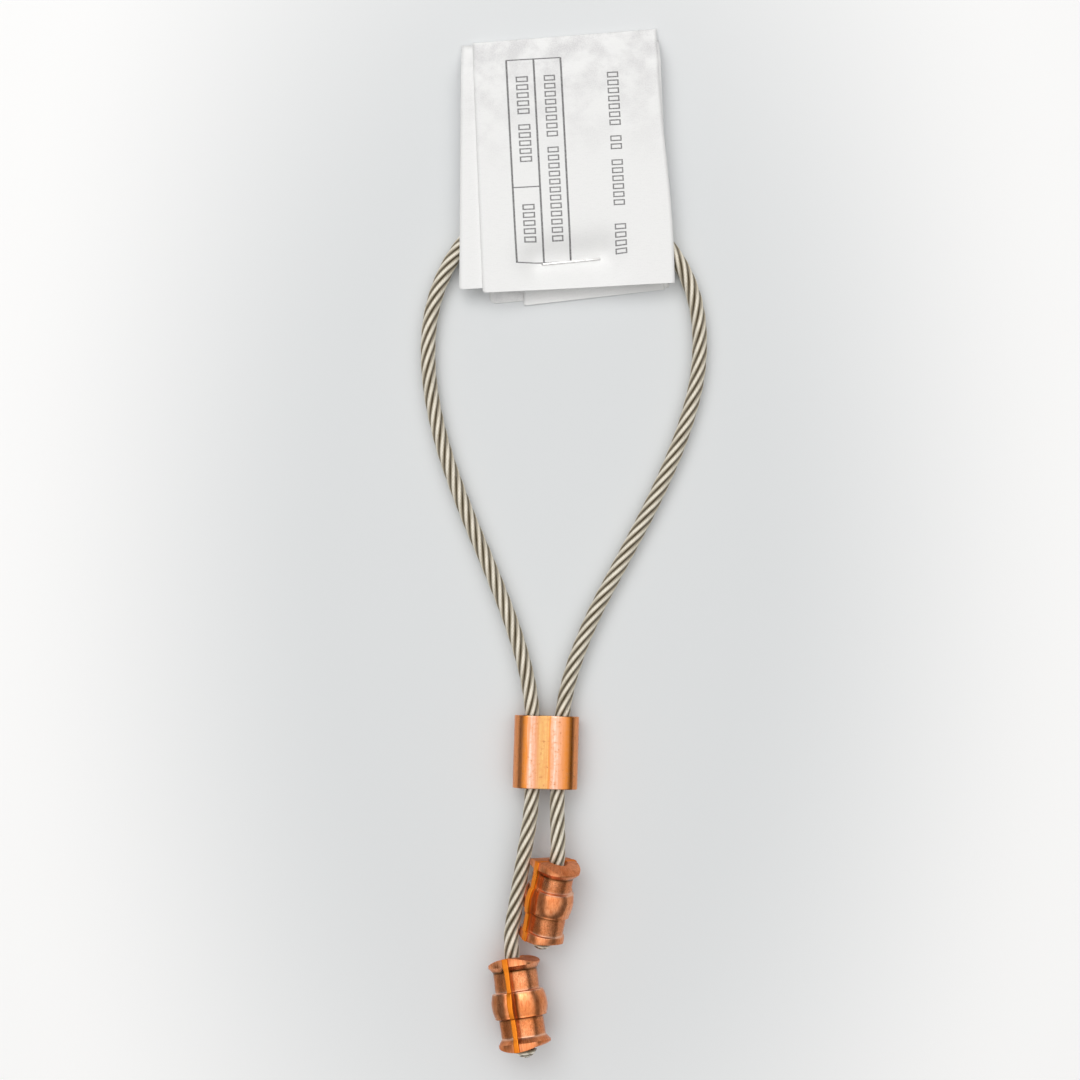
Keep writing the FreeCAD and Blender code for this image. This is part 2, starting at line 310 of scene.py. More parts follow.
def makeTable():
    # A wide flat square, pale grey in the middle and white further out, a painted falloff of
    # light.
    look = tableLook
    half, drop = look["size"] / 2, -look["drop"]
    corners = [(-half, -half, drop), (half, -half, drop), (half, half, drop), (-half, half, drop)]
    mesh = bpy.data.meshes.new("table")
    mesh.from_pydata(corners, [], [(0, 1, 2, 3)])
    table = addObject("table", mesh)
    material, tree, shader = newMaterial("tableCloth")
    x, y = look["middle"]
    tall = look["tallShare"]
    centred = stretch(tree, readPlace(tree), (1, tall, 1), move=(-x, -y * tall, 0))
    distance = vectorMath(tree, "LENGTH", centred)["Value"]
    fade = mapRange(tree, distance, look["fadeFrom"], look["fadeTo"], kind="SMOOTHSTEP")
    # painted light: the floor brightens from grey in the middle to white further out
    colour = mixColours(tree, fade, look["colour"], look["edge"])
    setShader(tree, shader, {"Base Color": colour, "Roughness": look["roughness"],
                             "Specular IOR Level": look["specular"]})
    mesh.materials.append(material)


makeTable()
print("camera, room and table ready")


# Rope

headLook = {  # millimetres and degrees, along the rope from the mouth and out from its middle
    "rim": (5.3, 4.9, 2.5, 0.03),  # half width, half height along the fins, power, flats
    "neck": (4.65, 4.0, 2.3, 0.05),
    "bulge": (5.9, 4.7, 2.3, 0.04),
    "flatTurn": 27.0,
    "lip": 0.3, "flare": 1.1,  # an end face's corner, and a rim's slope to its neck
    "faceEdge": (0.06, 0.05),  # an end face's soft edge, across and along
    "crown": 1.36,  # how far the end faces of the solids stand out
    "bore": 1.62,
    "funnels": ((2.2, -0.8), (1.74, -0.05)),  # radius and depth, at the mouth and the cut end
    "bulgeLength": 5.7, "stepLength": 0.26,
    "edgeShare": 0.2,  # of the bulge's height, reached at its two steps
    "swellPower": 0.55,
    "bead": 0.14, "beadWide": 0.2,  # a ridge along each step
    "finHalf": (0.58, 0.72, 0.64),  # half its thickness on a neck, a rim and the bulge
    "finTall": (5.02, 5.2, 5.7),  # the same, from the rope's middle
    "finPower": 12,
    # waves: height, times round the rope, rate along it and how many seeds they start at
    "finWaves": ((0.03, 1.7, 1), (0.012, 4.1, 2)),
    "thickWave": (0.07, 1.1, 2),
    "waves": ((0.03, 3, 0.9, 1), (0.015, 7, -1.9, 0)),
    "valley": (0.3, 0.55), "valleyWide": 13.0,  # beside a fin, on a neck and on the bulge
    "lowest": 0.02,  # over the table
}
# A pair below is for the mouth and for the cut end.
longHead = {
    "length": 16.3, "bulgeStart": 5.4, "finTurn": 19.0, "seed": 0.0,
    "end": 0, "before": 1,  # the points of the route that it lies on
    "stub": 1.15, "domeOut": 0.45,  # rope past the end face, and more of it in the scene
    "finBand": 0.3,  # how far down a fin its orange reaches
    "slim": 1.0, "shift": 0.0,  # the body's share of its width, and its move sideways
    "crowns": (1.36, 1.36),
    "rimSizes": (1.0, 1.0),
    "rimPowers": (1.15, 1.0),  # below 1 a collar, above 1 a flare
    # painted shade beside the fins and painted dark reflections: degrees from the upper fin,
    # width, darkness on a neck and on the bulge
    "stainsAndShade": ((14, 5, 0.15, 0.8), (-12, 6, 0.85, 0.1), (-50, 18, 0.3, 0.5)),
}
shortHead = {
    "length": 15.2, "bulgeStart": 4.3, "finTurn": 53.0, "seed": 2.4,
    "end": -1, "before": -2,
    "stub": 0.85, "domeOut": 0.65,
    "finBand": 0.8,
    "slim": 0.95, "shift": -0.3,
    "crowns": (1.36, 0.75),
    "rimSizes": (0.98, 0.88),
    "rimPowers": (1.15, 0.16),
    # painted shade beside the fin: degrees from the upper fin, width, darkness on a neck and on
    # the bulge
    "stainsAndShade": ((14, 7, 0.3, 0.45),),
}
ropeLook = {
    "diameter": 3.2 * mm,
    "lay": 22.5 * mm,  # one turn of a strand round the rope, right-handed
    "strandLay": 8.6 * mm,  # one turn of a wire round its strand, left-handed
    "strands": 6,
    "wires": 12,  # outer wires of one strand
    "groove": 0.065 * mm,  # between two wires of a strand
    "strandWide": 1.2,  # a strand is pressed wider than it is high by this factor
    "startTurn": -0.14,
    "step": 0.56 * mm,  # between rows on the loop
    "legStep": 0.42 * mm,
    "fineMore": 0.3 * mm,  # the closest rows start this far before the wires spread
    "splayFrom": 1.2 * mm,  # from a cut end, where the wires begin to spread
    "splayTo": 0.62 * mm,
    "splayBy": 0.5 * mm,
    "strandSpread": 0.2,  # how much wider a strand is where it has spread
    "coreSpread": 0.9,
    # The next three paint light on the strands: a painted highlight on each strand's outer side,
    # and painted shade away from it, in the grooves between wires and on the core.
    "crestPower": 1.3,  # how fast a strand's painted shade deepens away from its outer side
    "grooveShade": 0.22,
    "corePaintedShade": 0.3,
    "splitY": -45.0 * mm,  # each leg is a piece of its own from here, inside the sleeve
    "bendFrom": -57.5 * mm,
    "bendTo": -65.2 * mm,
    # painted light: the level painted at a place on a strand, from deep shade to a highlight, and
    # its colour
    "tones": ((0.14, (0.085, 0.063, 0.033)), (0.40, (0.185, 0.147, 0.088)),
              (0.68, (0.44, 0.382, 0.28)), (0.88, (0.95, 0.885, 0.755))),
    "roughness": (0.26, 0.40),
    "refraction": 1.6,
}
domeLook = {  # the wire ends that stand out of a head
    "half": 2.3 * mm,  # half the width of the dome
    "sunk": 0.1,  # millimetres between its edge and the end face
    "valley": 0.14 * mm,  # between two strands
    "twist": 2.2,
    "ring": 0.035 * mm,  # the rings that the wire ends make
    "ringApart": 0.46 * mm,
}
route = mm * np.array([
    (-7.9, -107.4, 8.7), (-9.5, -96.4, 6.7), (-11.6, -84.6, 4.6), (-9.9, -75.2, 5.3),
    (-8.5, -66.4, 5.8), (-6.8, -56.4, 5.2), (-6.6, -44.8, 4.0), (-6.7, -33.5, 3.2),
    (-9.7, -21.3, 2.7), (-15.1, -7.3, 2.4), (-21.3, 7.0, 2.3), (-26.4, 21.4, 2.3),
    (-29.1, 36.0, 2.3), (-28.2, 50.2, 2.3), (-22.1, 62.8, 2.3), (-12.3, 70.9, 2.3),
    (-0.4, 73.8, 2.3), (11.6, 71.1, 2.3), (22.0, 63.1, 2.3), (28.2, 51.2, 2.3),
    (29.0, 37.1, 2.3), (25.7, 23.5, 2.3), (19.6, 9.2, 2.3), (12.0, -5.0, 2.4),
    (5.1, -17.9, 2.7), (0.1, -31.8, 3.2), (-1.1, -44.8, 4.0), (-1.6, -56.4, 4.9),
    (-1.15, -66.1, 7.8), (-3.1, -75.8, 6.45), (-4.95, -85.4, 5.1),
])


def ropeLine():
    # Points read from one smooth spline with the route as its control points.
    curve = bpy.data.curves.new("ropeLine", "CURVE")
    curve.dimensions = "3D"
    spline = curve.splines.new("NURBS")
    spline.points.add(len(route) - 1)
    for point, place in zip(spline.points, route):
        point.co = (*place, 1)
    spline.order_u = 3
    spline.use_endpoint_u = True
    spline.resolution_u = 24
    holder = addObject("ropeLine", curve)
    mesh = bpy.data.meshes.new_from_object(holder)
    points = np.empty(len(mesh.vertices) * 3)
    mesh.vertices.foreach_get("co", points)
    bpy.data.objects.remove(holder)
    bpy.data.meshes.remove(mesh)
    return points.reshape(-1, 3)


linePoints = ropeLine()
lineSteps = np.linalg.norm(np.diff(linePoints, axis=0), axis=1)
lineDistance = join([[0], np.cumsum(lineSteps)])
ropeLength = lineDistance[-1]
onLegs = linePoints[:, 1] < ropeLook["splitY"]
loopStart = lineDistance[np.argmin(onLegs)]
loopEnd = lineDistance[len(onLegs) - np.argmin(onLegs[::-1]) - 1]
print("rope length", round(ropeLength / mm, 1), "mm, loop from", round(loopStart / mm, 1),
      "to", round(loopEnd / mm, 1))


def ropeFrame(distances):
    # Places on the rope with its direction, the upward normal and the sideways one.
    def at(d):
        return np.stack([np.interp(d, lineDistance, linePoints[:, k]) for k in range(3)], -1)
    nudge = 0.4 * mm
    before = np.clip(distances - nudge, 0, ropeLength)
    after = np.clip(distances + nudge, 0, ropeLength)
    along = unit(at(after) - at(before))
    normal = unit(up - along * (along @ up)[:, None])
    return at(distances), along, normal, np.cross(along, normal)


def splay(distances):
    # How far the wires have spread: 0 in the rope, 1 at a dome's edge on a cut end.
    look = ropeLook
    fromCut = np.minimum(distances, ropeLength - distances)
    return easeIn((look["splayFrom"] - fromCut) / (look["splayFrom"] - look["splayTo"]))


def capTube(centre, points):
    # Closes a tube with one point of its centre line at each end.
    count = points.shape[1]
    first, last = (np.repeat(end[:, None], count, 1) for end in (centre[:1], centre[-1:]))
    return join([first, points, last])


def strandPatch(index, distances):
    # A strand: an oval scalloped by its wires, carried along a helix round the rope.
    # The helix turns once in a lay; the scallops turn the other way, once in a strand lay.
    look = ropeLook
    strandRadius = look["diameter"] / 6
    spread = splay(distances)[:, None]
    helixRadius = 2 * strandRadius + look["splayBy"] * spread
    place, along, normal, side = ropeFrame(distances)
    rate = 2 * pi / look["lay"]
    angle = (rate * distances + look["startTurn"] + 2 * pi * index / look["strands"])[:, None]
    outward = np.cos(angle) * normal + np.sin(angle) * side
    sideways = np.cos(angle) * side - np.sin(angle) * normal
    onwards = unit(along + 2 * strandRadius * rate * sideways)
    across = np.cross(onwards, outward)
    centre = place + helixRadius * outward
    step = np.arange(2 * look["wires"] + 1)
    inGroove = step % 2
    turn = 2 * pi * step / step[-1] - 2 * pi / look["strandLay"] * distances[:, None]
    radius = (strandRadius - look["groove"] * inGroove)[:, None]
    wide = look["strandWide"] * (1 + look["strandSpread"] * spread)
    oval = np.cos(turn)[..., None] * outward[:, None] \
        + (wide * np.sin(turn))[..., None] * across[:, None]
    points = capTube(centre, centre[:, None] + radius * oval)
    # painted light: brightest on the strand's outer side, with painted shade away from it and in
    # the grooves between wires
    paintedLight = np.cos(turn).clip(0, 1) ** look["crestPower"] * (1 - look["grooveShade"] * inGroove)
    return points, {"paintedLight": join([paintedLight[:1] * 0.5, paintedLight, paintedLight[-1:] * 0.5])}


def corePatch(distances):
    # The strand in the middle, a plain round tube that closes the gaps between the others.
    place, _, normal, side = ropeFrame(distances)
    swell = 1 + ropeLook["coreSpread"] * splay(distances)
    radius = (ropeLook["diameter"] / 6 * swell)[:, None, None]
    turn = np.linspace(0, 2 * pi, 13)[None, :, None]
    ring = np.cos(turn) * normal[:, None] + np.sin(turn) * side[:, None]
    points = capTube(place, place[:, None] + radius * ring)
    # painted shade: the core is painted at one low, dark level
    return points, {"paintedLight": np.full(points.shape[:2], ropeLook["corePaintedShade"])}


def domePatch(end, inward, spec):
    # The cut end's wires, pressed to a sphere's cap, sphere - sqrt(sphere^2 - ring^2) below its
    # top, less six valleys |cos(3 turn + twist)| and rings of wire ends. Four rows close it.
    look = domeLook
    half = look["half"]
    top = end - spec["domeOut"] * mm * inward
    lostCrown = headLook["crown"] - spec["crowns"][1]
    reach = (spec["stub"] + spec["domeOut"] + lostCrown - look["sunk"]) * mm
    under = half * np.array([1, 0.97, 0.6, 0])
    rings = join([np.linspace(0, half * 0.98, 20), under])[:, None]
    turn = np.linspace(0, 2 * pi, 61)[None, :]
    sphere = (half ** 2 + reach ** 2) / (2 * reach)
    drop = sphere - np.sqrt(sphere ** 2 - rings ** 2)
    drop[-4:, 0] = reach + np.array([0, 1, 1, 1]) * look["sunk"] * mm
    share = rings / half
    ridge = abs(np.cos(3 * turn + look["twist"] * share))
    carve = look["valley"] * (1 - ridge) ** 1.5 * np.clip(3.99 * share * (1 - share), 0, 1)
    wave = 1 - np.cos(2 * pi * rings / look["ringApart"])
    carve = carve + look["ring"] * wave * (share < 0.97)
    carve[-4:] = 0
    side = unit(np.cross(inward, up))
    other = np.cross(inward, side)
    outward = np.cos(turn)[..., None] * side + np.sin(turn)[..., None] * other
    points = top + (drop + carve)[..., None] * inward + rings[..., None] * outward
    # painted light: bright along the rings of wire ends and the strands' ridges, with painted
    # shade between the rings and in the valleys
    paintedLight = 0.62 + 0.38 * np.cos(pi * rings / look["ringApart"])
    return points, {"paintedLight": paintedLight * (0.75 + 0.25 * ridge)}


def steelMaterial():
    # Drawn wire with a painted highlight on each strand's outer side and painted brown shade deep
    # between the strands, varied by patches of grime.
    material, tree, shader = newMaterial("strandedSteel")
    place = readPlace(tree)
    patches = addNoise(tree, place, 260.0)
    grime = doMath(tree, "MULTIPLY_ADD", patches, 0.22, -0.11)
    # painted light level from the strands' shape, varied by grime
    level = doMath(tree, "ADD", readAttribute(tree, "paintedLight"), grime, clamp=True)
    setShader(tree, shader, {
        "Base Color": addRamp(tree, level, ropeLook["tones"]), "IOR": ropeLook["refraction"],
        "Roughness": mapRange(tree, patches, 0.3, 0.7, *ropeLook["roughness"])})
    addBump(tree, shader, addNoise(tree, place, 2600.0, 2.0), 0.25, 0.02 * mm)
    return material


steel = steelMaterial()


def ropeRows(first, last):
    # Distances along the rope, close together where the wires spread at a cut end.
    look = ropeLook
    fine = look["splayFrom"] + look["fineMore"]
    if first < fine:
        cut = np.linspace(look["splayTo"], fine, 9)
        return join([cut[:-1], np.linspace(fine, last, int(last / look["legStep"]))])
    if last > ropeLength - fine:
        start = ropeLength - fine
        leg = np.linspace(first, start, int((start - first) / look["legStep"]))
        return join([leg[:-1], np.linspace(start, ropeLength - look["splayTo"], 9)])
    return np.linspace(first, last, int((last - first) / look["step"]) + 1)


def ropePiece(name, first, last, node):
    # Strands and core between two distances, with a dome on an end that was cut.
    distances = ropeRows(first, last)
    patches = [strandPatch(index, distances) for index in range(ropeLook["strands"])]
    patches.append(corePatch(distances[::2]))
    if first == 0:
        patches.append(domePatch(linePoints[0], ropeFrame(np.array([0.0]))[1][0], longHead))
    if last == ropeLength:
        inward = -ropeFrame(np.array([ropeLength]))[1][0]
        patches.append(domePatch(linePoints[-1], inward, shortHead))
    piece = makePiece(name, patches, steel, allSmooth)
    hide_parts(node)
    return piece, ropeFrame(np.linspace(first, last, len(distances)))[0]


ropeLoop, loopPath = ropePiece("ropeLoop", loopStart, loopEnd, "rope_loop")
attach(ropeLoop, "rope")

longLeg, longPath = ropePiece("longLegRope", 0, loopStart, "long_leg_rope")
shortLeg, shortPath = ropePiece("shortLegRope", loopEnd, ropeLength, "short_leg_rope")


def bendLeg(leg):
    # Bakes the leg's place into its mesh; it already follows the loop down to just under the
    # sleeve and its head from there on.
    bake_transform(leg)


bendLeg(longLeg)
bendLeg(shortLeg)


# Swaged heads

# Tones of the pressed copper. The dark brown one is painted shade, the pale pink one a painted
# highlight, and the flank's brown painted shade on a fin's sides.
copperTones = {
    "clean": (0.94, 0.40, 0.19), "ruddy": (0.79, 0.26, 0.085), "streak": (0.58, 0.15, 0.045),
    "speck": (0.36, 0.105, 0.036), "shadeBrown": (0.16, 0.066, 0.018), "wearAndHighlight": (0.97, 0.60, 0.42),
    "flank": (0.47, 0.22, 0.095), "finTop": (0.90, 0.26, 0.022),
}


def bar(angle, shape):
    # A bar's radius: a soft-cornered oval, ((sin/width)^p + (cos/height)^p)^(-1/p), less a
    # ripple that leaves faint flats 45 degrees apart.
    wide, high, power, flat = shape
    across, upright = abs(np.sin(angle)), abs(np.cos(angle))
    oval = ((across / wide) ** power + (upright / high) ** power) ** (-1 / power)
    return oval - flat * np.cos(8 * (np.arcsin(across) - radians(headLook["flatTurn"])))


def headAngles():
    # Round the rope, close together over the two fins and beside them.
    flank = np.linspace(4.2, 15.4, 29)
    onFin, between = np.linspace(-3.6, 3.6, 7), np.linspace(17.5, 162.5, 66)
    half = join([-flank[::-1], onFin, flank, between])
    return np.radians(join([half, half + 180, half[:1] + 360]))[None, :]


def headRows(spec):
    # Along the rope from the mouth, close together at the steps and on the rims.
    lip, step, length = headLook["lip"], headLook["stepLength"], spec["length"]
    rimEnd = lip + headLook["flare"]
    start = spec["bulgeStart"]
    end = start + headLook["bulgeLength"]
    inStep = np.array([0, 0.25, 0.5, 0.75, 1]) * step
    pastStep = step + np.array([0.06, 0.13, 0.2, 0.3])
    return join([
        np.linspace(lip, rimEnd, 7), [rimEnd + 0.05],
        np.linspace(rimEnd + 0.3, start - 0.2, 9), [start - 0.04],
        start + inStep, start + pastStep, np.linspace(start + 0.7, end - 0.7, 14),
        end - pastStep[::-1], end - inStep[::-1], [end + 0.04],
        np.linspace(end + 0.2, length - rimEnd - 0.3, 9), [length - rimEnd - 0.05],
        np.linspace(length - rimEnd, length - lip, 7),
    ])[:, None]


def headPoints(spec):
    # Radius by the angle round the rope and the distance along it: rims, two necks and a bulge
    # joined by steps, with a valley beside each fin, or where it is further out a fin,
    # ((sin/half)^p + (cos/tall)^p)^(-1/p).
    look, seed = headLook, spec["seed"]
    length, bulgeStart = spec["length"], spec["bulgeStart"]
    bulgeEnd = bulgeStart + look["bulgeLength"]
    lip, flare, step = look["lip"], look["flare"], look["stepLength"]
    angle, side = headAngles(), headRows(spec)
    nearMouth = side < length / 2
    rimPower = np.where(nearMouth, *spec["rimPowers"])
    rimSize = np.where(nearMouth, *spec["rimSizes"])
    fromEnd = np.minimum(side, length - side)
    rimShare = np.clip(1 - (fromEnd - lip) / flare, 0, 1) ** rimPower
    inBulge = bell((side - bulgeStart) / look["bulgeLength"])
    bulgeShare = easeIn(np.minimum(side - bulgeStart, bulgeEnd - side) / step)

    def shaped(onNeck, onRim, onBulge, bulgeBy):
        # A size that goes from a neck's to a rim's and to the bulge's.
        return onNeck + (onRim - onNeck) * rimShare + (onBulge - onNeck) * bulgeBy

    neck = bar(angle, look["neck"]) * spec["slim"]
    swell = look["edgeShare"] + (1 - look["edgeShare"]) * inBulge ** look["swellPower"]
    fromStep = np.minimum(abs(side - bulgeStart - step), abs(side - bulgeEnd + step))
    bulge = neck + (bar(angle, look["bulge"]) * spec["slim"] - neck) * swell \
        + look["bead"] * hill(fromStep, 0, look["beadWide"])
    body = shaped(neck, bar(angle, look["rim"]) * rimSize, bulge, bulgeShare)
    fromFin = np.degrees(np.arcsin(abs(np.sin(angle))))
    shallow, deep = look["valley"]
    valley = (shallow + (deep - shallow) * bulgeShare) * hill(fromFin, 0, look["valleyWide"])
    body = body - valley * (1 - 0.75 * rimShare)

    half = shaped(*look["finHalf"], bulgeShare * inBulge)
    onNeck, onRim, onBulge = look["finTall"]
    tall = shaped(onNeck, onRim * rimSize, onBulge, bulgeShare * inBulge ** 0.5)
    for high, rate, seeds in look["finWaves"]:
        tall = tall + high * np.sin(rate * side + seeds * seed)
    high, rate, seeds = look["thickWave"]
    half = half * (1 + high * np.sin(rate * side + seeds * seed))
    power = look["finPower"]
    fin = (abs(np.sin(angle) / half) ** power + abs(np.cos(angle) / tall) ** power) ** (-1 / power)
    wobble = sum(high * np.sin(times * angle + rate * side + seeds * seed)
                 for high, times, rate, seeds in look["waves"])
    radius = np.maximum(body + wobble, fin)
    height = np.broadcast_to(side, radius.shape)

    # For the material: the fins and their tops, the pressed necks, painted shade in bands round
    # the head beside the fins and in two corners round it, and painted highlights on two edges.
    finShare = easeIn((fin - body) / 0.06)
    finTop = finShare * easeIn((radius - tall + spec["finBand"]) / 0.2)
    pressed = np.broadcast_to((1 - rimShare) * (1 - bulgeShare), radius.shape)
    # painted shade in two corners, below the bulge and under the mouth rim's flare, where the
    # steps face the cut end
    paintedShade = 0.8 * (hill(side, bulgeEnd + 0.05, 0.16) + 1.2 * hill(side, lip + flare - 0.05, 0.3))
    # painted shade beside the fins and painted dark reflections, in bands round the head
    for turn, wide, onNeck, onBulge in spec["stainsAndShade"]:
        off = (np.degrees(angle) - turn + 180) % 360 - 180
        paintedShade = paintedShade + (onNeck * pressed + onBulge * bulgeShare) * hill(off, 0, wide)
    # painted highlights on the bulge's first step and on the cut-end rim's flare, which face the
    # mouth
    wearAndHighlight = hill(side, bulgeStart + 0.14, 0.26) + hill(side, length - lip - flare, 0.2)

    def face(outer, atCut):
        # An end face, from the side in to the bore: crown * (1 - (across / rim)^2).
        edge, depth = look["funnels"][atCut]
        inset, rise = look["faceEdge"]
        level = np.ones_like(outer)
        reach = np.array([outer, outer - inset, outer * 0.62 + edge * 0.38, edge * level,
                          look["bore"] * level])
        lift = np.array([-rise, 0, 0, 0, depth - rise])[:, None]
        across = reach * np.sin(angle) / look["rim"][0]
        out = spec["crowns"][atCut] * (1 - across ** 2) + lift
        return reach, length + out if atCut else -out

    lowRows, lowHeights = face(radius[0], 0)
    highRows, highHeights = face(radius[-1], 1)
    travel = join([lowRows[::-1] - radius[0], height, length + radius[-1] - highRows,
                   lowRows[-1:]])
    radius = join([lowRows[::-1], radius, highRows, lowRows[-1:]])
    height = join([lowHeights[::-1], height, highHeights, lowHeights[-1:]])
    pad = ((len(lowRows), len(highRows) + 1), (0, 0))
    shares = {
        "pressed": np.pad(pressed, pad),
        "fin": np.pad((finShare + finTop) / 2, pad, mode="edge"),
        # painted shade, and below it painted highlights
        "paintedShade": np.pad(paintedShade.clip(0, 1) * (1 - finShare), pad),
        "wearAndHighlight": np.pad(wearAndHighlight * (1 - finShare), pad),
        "face": np.pad(0 * pressed, pad, constant_values=1),
        "v": travel,
    }
    return angle, radius, height, shares


def copperMaterial():
    # Pressed copper: bright on the rims and the bulge, browner with a fine stamped grain drawn
    # out along the rope on the pressed necks, orange on the fin tops, with painted shade in brown
    # on the fins' sides, in bands and in two corners, and painted highlights on two steps.
    material, tree, shader = newMaterial("pressedCopper")
    surface, tone = readSurface(tree), copperTones
    fin = readAttribute(tree, "fin")
    stainsAndShade = addNoise(tree, readPlace(tree), 230.0, 4.0)
    streaks = addNoise(tree, stretch(tree, surface, (3.4, 0.8, 1)), 1.0, 4.0)
    grain = addNoise(tree, stretch(tree, surface, (6.5, 2.6, 1)), 1.0, 3.0, 0.7)
    stamped = mapRange(tree, readAttribute(tree, "pressed"), 0.0, 1.0, 0.25, 1.0)
    pits = doMath(tree, "MULTIPLY", mapRange(tree, grain, 0.38, 0.56, 0.75, 0.0), stamped)
    # painted highlights on two steps that face the mouth
    wearAndHighlight = mapRange(tree, readAttribute(tree, "wearAndHighlight"), 0.0, 1.0, 0.0, 0.8)
    colour = layColours(tree, tone["clean"], [
        (mapRange(tree, stainsAndShade, 0.38, 0.66), tone["ruddy"]),
        (mapRange(tree, streaks, 0.45, 0.66, 0.0, 0.75), tone["streak"]),
        (pits, tone["speck"]),
        # painted shade in bands and in two corners
        (readAttribute(tree, "paintedShade"), tone["shadeBrown"]),
        # painted highlights on two steps
        (wearAndHighlight, tone["wearAndHighlight"]),
        # painted shade on a fin's sides, in brown
        (mapRange(tree, fin, 0.0, 0.5), tone["flank"]),
        (mapRange(tree, fin, 0.5, 1.0), tone["finTop"]),
    ])
    dull = doMath(tree, "MULTIPLY_ADD", readAttribute(tree, "face"), 0.25,
                  mapRange(tree, stainsAndShade, 0.3, 0.7, 0.25, 0.37))
    setShader(tree, shader, {"Base Color": colour, "Metallic": 1.0, "Roughness": dull})
    addBump(tree, shader, doMath(tree, "MULTIPLY", grain, stamped), 0.5, 0.05 * mm)
    return material


headCopper = copperMaterial()


def makeHead(name, spec, body, nodeName):
    look = headLook
    end, before = route[spec["end"]], route[spec["before"]]
    along = unit(end - before)
    upright = unit(up - along * (along @ up))
    turn = radians(spec["finTurn"])
    fins = upright * cos(turn) + np.cross(along, upright) * sin(turn)
    width = np.cross(fins, along)
    mouth = end - along * (spec["stub"] + look["crown"] + spec["length"]) * mm
    east = np.cross(along, up)
    east = east * np.sign(east[0])
    angle, radius, height, shares = headPoints(spec)
    # the bore stays on the rope where the body is moved sideways
    shift = np.where(radius > look["bore"] + 0.7, spec["shift"], 0.0)
    points = mouth + mm * (
        shift[..., None] * east + (radius * np.sin(angle))[..., None] * width
        + (radius * np.cos(angle))[..., None] * fins + height[..., None] * along)
    points[..., 2] = points[..., 2].clip(look["lowest"] * mm)
    piece = makePiece(name, [(points, {**shares, "u": angle * 4.6})], headCopper, 30)
    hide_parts(nodeName)
    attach(piece, body)
    return piece


longHeadPiece = makeHead("longLegHead", longHead, "long_leg", "long_leg_head")
shortHeadPiece = makeHead("shortLegHead", shortHead, "short_leg", "short_leg_head")


# Loose sleeve

sleeveLook = {  # millimetres and degrees
    "slotWidth": 10.8, "slotHeight": 3.8, "wall": 1.4, "length": 15.2,
    "edge": 0.15, "waist": 0.22, "lean": 1.7, "rise": 4.3,
    "middle": (-3.85, -44.8, 4.0),
    "tones": {"edge": (0.88, 0.34, 0.13), "dark": (0.62, 0.20, 0.02), "ember": (0.66, 0.225, 0.04),
              "gold": (0.72, 0.43, 0.16), "pale": (0.86, 0.61, 0.51), "rose": (0.70, 0.34, 0.20),
              "streak": (0.64, 0.23, 0.07), "mottle": (0.66, 0.27, 0.11),
              "spot": (0.36, 0.12, 0.04)},
    # painted reflections, bright and dark bands: from the sleeve's left side at 0 to its right
    # side at 1
    "bands": ((0.0, "edge"), (0.11, "edge"), (0.15, "dark"), (0.20, "ember"), (0.25, "pale"),
              (0.34, "rose"), (0.41, "gold"), (0.52, "gold"), (0.55, "ember"), (0.62, "pale"),
              (0.72, "rose"), (0.80, "ember"), (0.885, "dark"), (0.92, "edge"), (1.0, "edge")),
}


def stadiumOutline(width, height):
    # A bar with round ends, seen along its axis: round side, flat top, round side, flat bottom.
    radius = height / 2
    reach = width / 2 - radius
    turn = np.linspace(-pi / 2, pi / 2, 33)
    flat = np.linspace(reach, -reach, 41)[1:-1]
    x = join([reach + radius * np.cos(turn), flat, -reach - radius * np.cos(turn), -flat, [reach]])
    y = join([radius * np.sin(turn), 0 * flat + radius, radius * np.sin(turn[::-1]),
              0 * flat - radius, [-radius]])
    return x, y


def sleevePoints():
    # The outline carried along the sleeve: outside, end face, slot and the other end face.
    # The outside has a shallow waist, cos^2 between its two round sides.
    look = sleeveLook
    halfWide, halfHigh = (look[size] / 2 + look["wall"] for size in ("slotWidth", "slotHeight"))
    slotX, slotY = stadiumOutline(look["slotWidth"], look["slotHeight"])
    outerX, outerY = stadiumOutline(2 * halfWide, 2 * halfHigh)
    reach = halfWide - halfHigh
    inFlat = np.cos(np.clip(outerX / reach, -1, 1) * pi / 2) ** 2
    dip = np.where(abs(outerX) < reach, inFlat, 0)
    outerY = outerY - look["waist"] * dip * np.sign(outerY)
    half, edge = look["length"] / 2, look["edge"]

    def drawnIn(along, inset):
        return along, outerX * (1 - inset / halfWide), outerY * (1 - inset / halfHigh)

    plain = [-half + edge, *np.linspace(-half + edge + 0.06, half - edge - 0.06, 25), half - edge]
    end = [drawnIn(half - 0.3 * edge, 0.3 * edge), drawnIn(half, edge),
           (half, slotX * 1.02, slotY * 1.04), (half - edge, slotX, slotY)]
    outlines = [(along, outerX, outerY) for along in plain] + end + [(0, slotX, slotY)]
    outlines += [(-along, x, y) for along, x, y in end[::-1]] + [(-half + edge, outerX, outerY)]
    return np.array([np.stack([x, y, np.full_like(x, along)], -1) for along, x, y in outlines])


